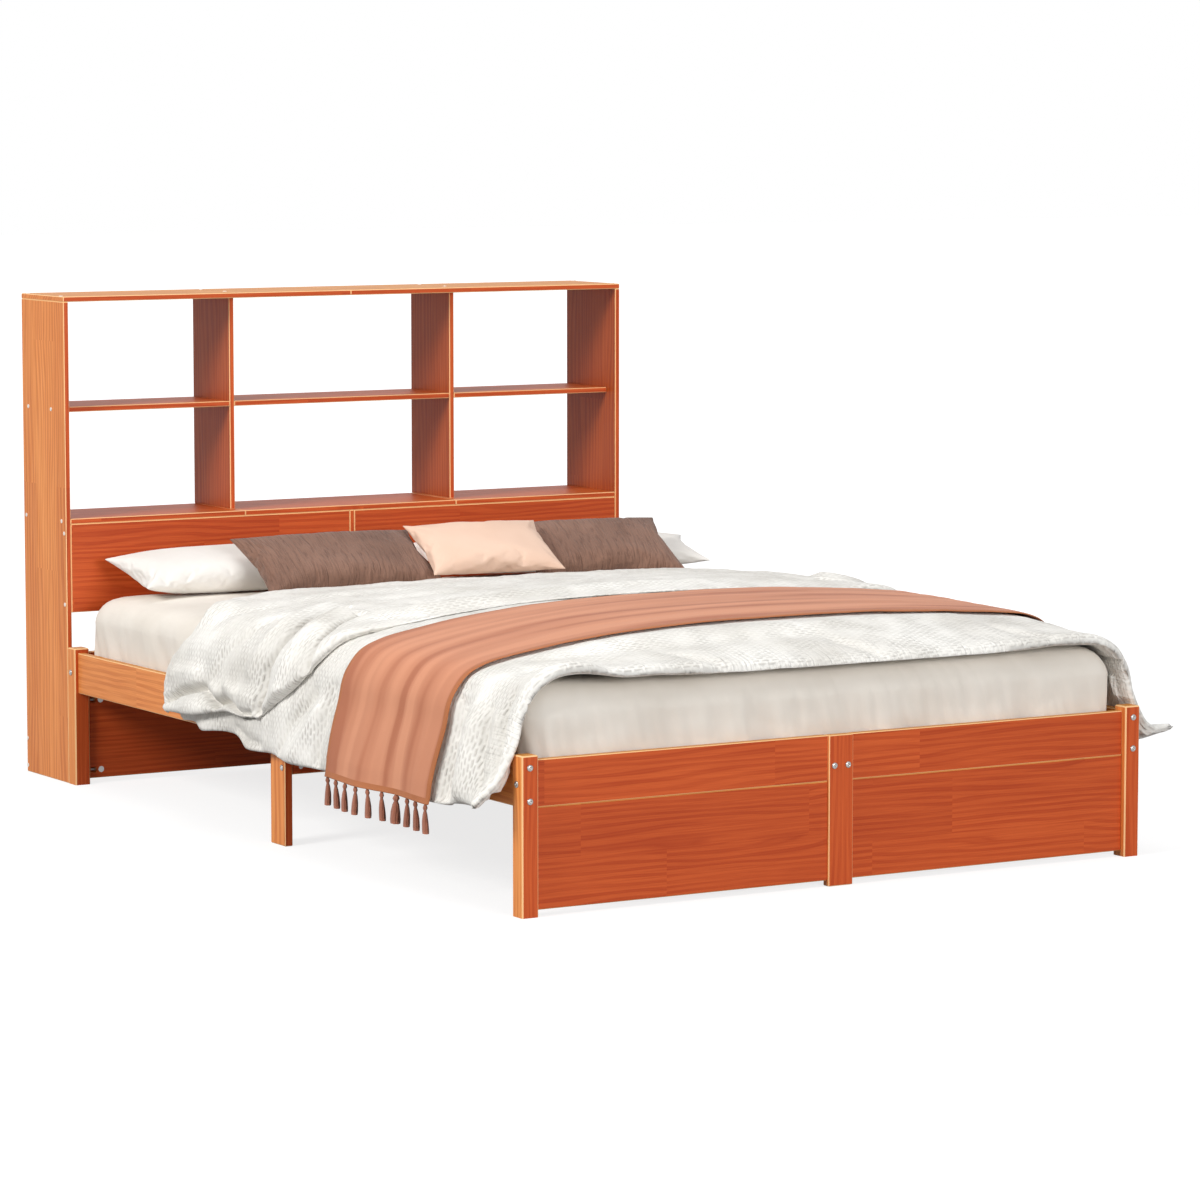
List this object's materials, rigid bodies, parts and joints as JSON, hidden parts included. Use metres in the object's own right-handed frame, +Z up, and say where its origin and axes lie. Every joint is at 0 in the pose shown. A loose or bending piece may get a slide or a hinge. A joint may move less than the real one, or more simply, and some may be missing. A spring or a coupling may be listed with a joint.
{
  "type": "bookcase headboard bed",
  "caption": "Pine double bed with a shelved bookcase as its headboard, bolted post-and-rail frame, slats, mattress, turned-back duvet, tasselled throw and cushions.",
  "frame": {"origin": "on the floor, under the middle of the whole bed", "axes": "+Z up, +Y from the foot towards the bookcase headboard, +X to the right for someone standing at the foot"},
  "size_m": [1.662, 2.288, 1.1012],
  "materials": {
    "bookcase_pine": "clear-lacquered pine",
    "frame_pine": "clear-lacquered pine",
    "slat_pine": "planed, raw",
    "webbing": "woven tape",
    "sheet_cotton": "gathered cotton",
    "duvet_seersucker": "puckered cotton",
    "throw_weave": "soft striped weave",
    "tassel_yarn": "loose yarn",
    "pillow_cotton": "plain cotton",
    "cushion_brown_cloth": "crinkled cloth",
    "cushion_peach_cloth": "matt cloth",
    "bolt_steel": "satin",
    "zinc_steel": "zinc plated",
    "beech": "raw",
    "cap_plastic": "matt"
  },
  "bodies": {
    "root": {"bookcase_side_left": "bookcase_pine", "bookcase_side_right": "bookcase_pine", "bookcase_top_left": "bookcase_pine", "bookcase_top_right": "bookcase_pine", "divider_left": "bookcase_pine", "divider_right": "bookcase_pine", "mid_shelf_left": "bookcase_pine", "mid_shelf_centre": "bookcase_pine", "mid_shelf_right": "bookcase_pine", "low_shelf_left": "bookcase_pine", "low_shelf_centre": "bookcase_pine", "low_shelf_right": "bookcase_pine", "headboard_panel_left": "bookcase_pine", "headboard_panel_right": "bookcase_pine", "panel_partition": "bookcase_pine", "back_stretcher": "bookcase_pine", "head_post_left": "frame_pine", "head_post_right": "frame_pine", "foot_post_left": "frame_pine", "foot_post_right": "frame_pine", "head_rail_left": "frame_pine", "head_rail_right": "frame_pine", "foot_rail_left": "frame_pine", "foot_rail_right": "frame_pine", "head_panel_left": "frame_pine", "head_panel_right": "frame_pine", "foot_panel_left": "frame_pine", "foot_panel_right": "frame_pine", "head_mid_post": "frame_pine", "foot_mid_post": "frame_pine", "side_rail_left": "frame_pine", "side_rail_right": "frame_pine", "mid_leg_left": "frame_pine", "mid_leg_right": "frame_pine", "slat_ledger_left": "frame_pine", "slat_ledger_right": "frame_pine", "cross_beam": "frame_pine", "centre_leg": "frame_pine", "centre_beam": "frame_pine", "slats": "slat_pine", "slat_strap_left": "webbing", "slat_strap_right": "webbing", "mattress": "sheet_cotton", "duvet": "duvet_seersucker", "throw": "throw_weave", "throw_tassels": "tassel_yarn", "pillow_white_left": "pillow_cotton", "pillow_white_right": "pillow_cotton", "cushion_brown_left": "cushion_brown_cloth", "cushion_brown_right": "cushion_brown_cloth", "cushion_peach": "cushion_peach_cloth", "frame_bolts": "bolt_steel", "barrel_nuts": "zinc_steel", "frame_screws": "zinc_steel", "cam_rods": "zinc_steel", "cam_discs": "zinc_steel", "case_screws": "zinc_steel", "dowels": "beech", "screw_caps": "cap_plastic"}
  },
  "joints": []
}
